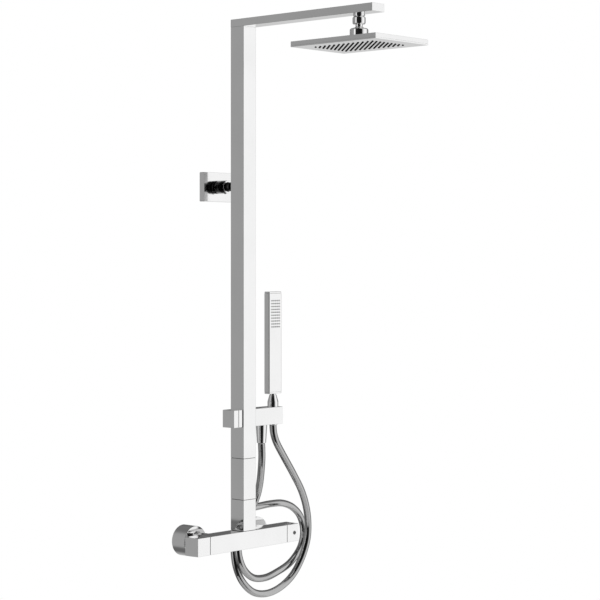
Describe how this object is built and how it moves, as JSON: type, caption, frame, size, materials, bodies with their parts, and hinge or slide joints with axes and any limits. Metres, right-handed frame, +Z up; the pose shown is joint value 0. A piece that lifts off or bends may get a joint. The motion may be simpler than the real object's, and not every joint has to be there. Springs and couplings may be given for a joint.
{
  "type": "rainfall shower column",
  "caption": "Wall-hung chrome shower column: thermostatic bar mixer, square riser, arm with swivelling rainfall head, diverter, handset and hose.",
  "frame": {"origin": "in the wall's face, midway between the two water inlets, at the height of the mixer bar's axis", "axes": "+Z up; +Y into the wall, so the room is on the -Y side; +X to the right of a person who faces the wall"},
  "size_m": [0.3808, 0.486, 1.1185],
  "materials": {
    "chrome": "polished chrome plate",
    "brass": "machined brass",
    "pipe": "drawn copper tube",
    "steel": "zinc-plated steel",
    "rubber": "grey silicone",
    "dark_plastic": "dark moulded plastic",
    "white_plastic": "white moulded acetal",
    "red_plastic": "red moulded plastic",
    "blue_plastic": "blue moulded plastic",
    "hose_skin": "smooth silver plastic hose, metallic look"
  },
  "bodies": {
    "root": {"mixer_body": "chrome", "union_left": "brass", "union_right": "brass", "union_nut_left": "chrome", "union_nut_right": "chrome", "union_seals": "rubber", "check_valves": "white_plastic", "escutcheon_left": "chrome", "escutcheon_right": "chrome", "flow_cartridge": "brass", "flow_stop_ring": "blue_plastic", "temperature_cartridge": "brass", "temperature_stop_ring": "red_plastic", "column_foot": "chrome", "column_sleeve": "chrome", "column_main": "chrome", "column_core": "white_plastic", "seam_rings": "dark_plastic", "lower_pipe": "pipe", "upper_pipe": "pipe", "bracket_base": "steel", "bracket_cover": "chrome", "bracket_post": "chrome", "bracket_neck": "chrome", "bracket_grub": "steel", "wall_screws": "steel", "cross_body": "chrome", "diverter_cartridge": "brass", "outlet_nipple": "brass", "hose_nut": "chrome", "hose": "hose_skin", "holder_liner": "dark_plastic", "arm_tube": "chrome", "arm_end_caps": "chrome", "arm_block": "brass", "arm_pipe": "pipe", "arm_outlet": "chrome", "swivel_ball": "chrome"},
    "flow": {"flow_spindle": "brass", "flow_knob": "chrome", "flow_knob_grub": "steel"},
    "temperature": {"temperature_spindle": "brass", "temperature_knob": "chrome", "temperature_knob_grub": "steel", "button_spring": "steel"},
    "button": {"safety_button": "dark_plastic"},
    "diverter": {"diverter_spindle": "brass", "diverter_knob": "chrome"},
    "upper_seat": {"seat_upper": "white_plastic"},
    "lower_seat": {"seat_lower": "white_plastic"},
    "head": {"head_collar": "chrome", "head_body": "chrome", "head_face": "chrome", "head_nozzle_mat": "rubber"},
    "handset_dock": {"handset_nut": "chrome"},
    "handset": {"handset_inlet": "brass", "handset_body": "chrome", "handset_nozzle_mat": "rubber", "handset_caps": "chrome"}
  },
  "joints": [
    {"name": "flow_knob_turn", "type": "hinge", "parent": "root", "child": "flow", "pos_m": [-0.1208, -0.078, 0], "axis": [-1, 0, 0], "range_deg": [0, 90]},
    {"name": "temperature_knob_turn", "type": "hinge", "parent": "root", "child": "temperature", "pos_m": [0.1208, -0.078, 0], "axis": [1, 0, 0], "range_deg": [-200, 45]},
    {"name": "safety_button_press", "type": "slide", "parent": "temperature", "child": "button", "axis": [0, 1, 0], "range_m": [0, 0.002], "stiffness_N_per_m": 500, "springref_m": -0.001},
    {"name": "diverter_turn", "type": "hinge", "parent": "root", "child": "diverter", "pos_m": [-0.0342, -0.078, 0.2305], "axis": [-1, 0, 0], "range_deg": [0, 90]},
    {"name": "head_tilt_sideways", "type": "hinge", "parent": "root", "child": "upper_seat", "pos_m": [0, -0.368, 0.9375], "axis": [0, 1, 0], "range_deg": [-10, 10]},
    {"name": "head_tilt_forward", "type": "hinge", "parent": "upper_seat", "child": "lower_seat", "pos_m": [0, -0.368, 0.9375], "axis": [1, 0, 0], "range_deg": [-10, 10]},
    {"name": "head_spin", "type": "hinge", "parent": "lower_seat", "child": "head", "pos_m": [0, -0.368, 0.9375], "axis": [0, 0, 1], "continuous": true},
    {"name": "handset_lift", "type": "slide", "parent": "root", "child": "handset_dock", "axis": [0, 0, 1], "range_m": [0, 0.06]},
    {"name": "handset_swivel", "type": "hinge", "parent": "handset_dock", "child": "handset", "pos_m": [0.082, -0.078, 0.26], "axis": [0, 0, 1], "continuous": true}
  ]
}
